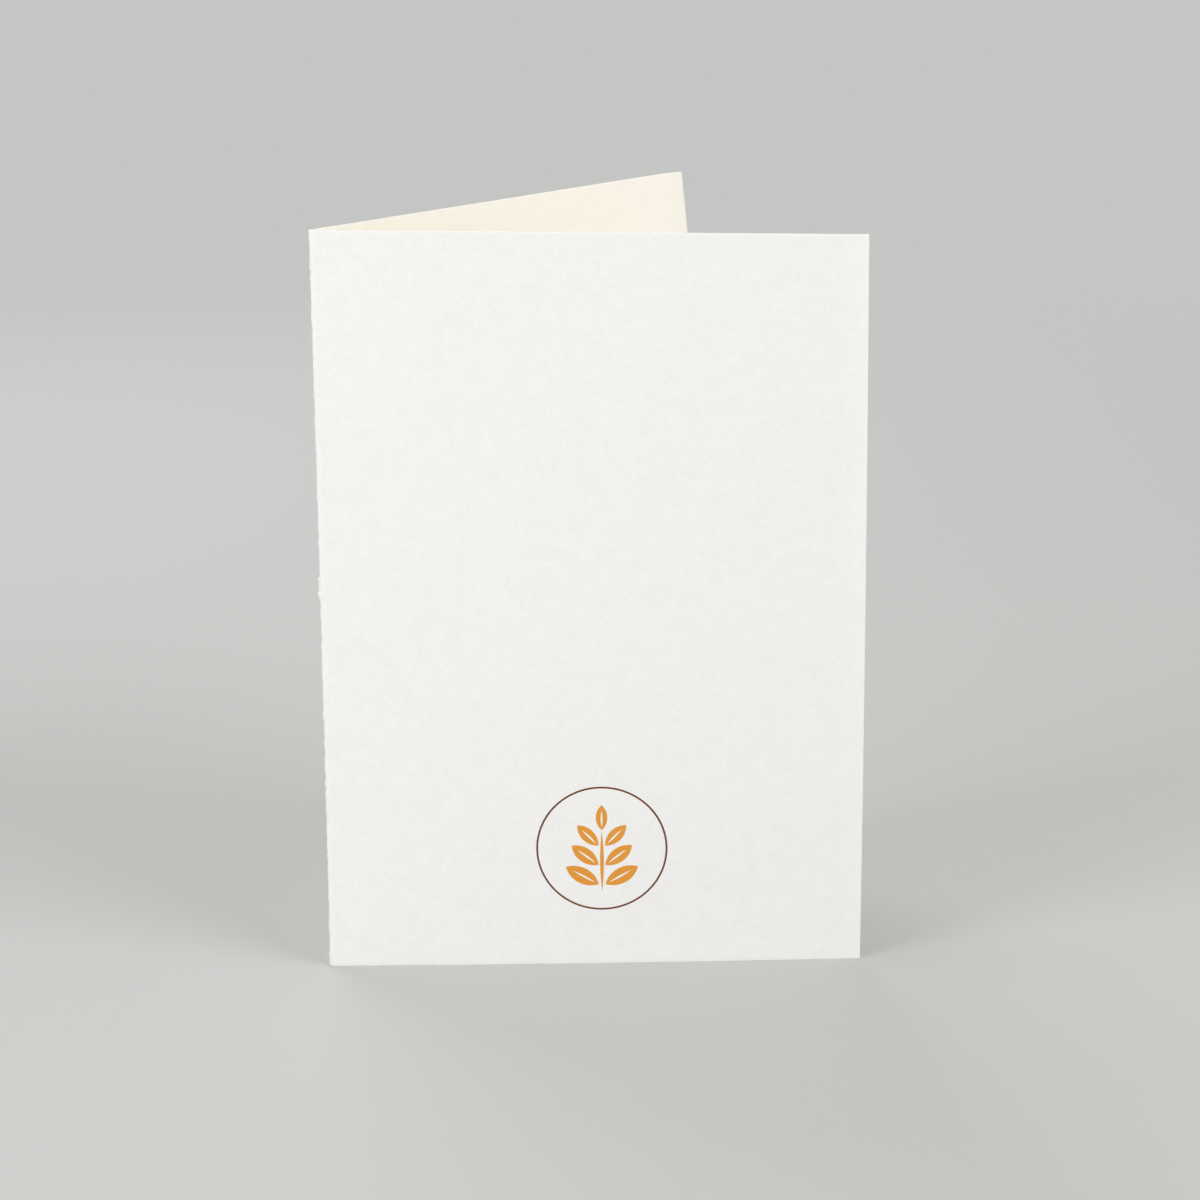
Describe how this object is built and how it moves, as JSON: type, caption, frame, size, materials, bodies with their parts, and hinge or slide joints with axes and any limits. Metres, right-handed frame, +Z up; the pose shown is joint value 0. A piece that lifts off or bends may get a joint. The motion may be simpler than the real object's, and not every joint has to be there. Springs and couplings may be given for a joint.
{
  "type": "greeting card",
  "caption": "Folded white card standing open as a V, with a small ring and leaf sprig printed low on its front leaf.",
  "frame": {"origin": "on the table, under the middle of the card's bounding box", "axes": "+Z up along the fold, +X from the fold to the free edges, -Y out of the front leaf's printed face"},
  "size_m": [0.127, 0.1072, 0.1778],
  "materials": {
    "white_card": "smooth uncoated white card, matte, a little warmer on its inside",
    "brown_ink": "dark brown printing ink, matte",
    "orange_ink": "orange printing ink, matte"
  },
  "bodies": {
    "root": {"folded_card": "white_card", "printed_ring": "brown_ink", "printed_sprig": "orange_ink"}
  },
  "joints": []
}
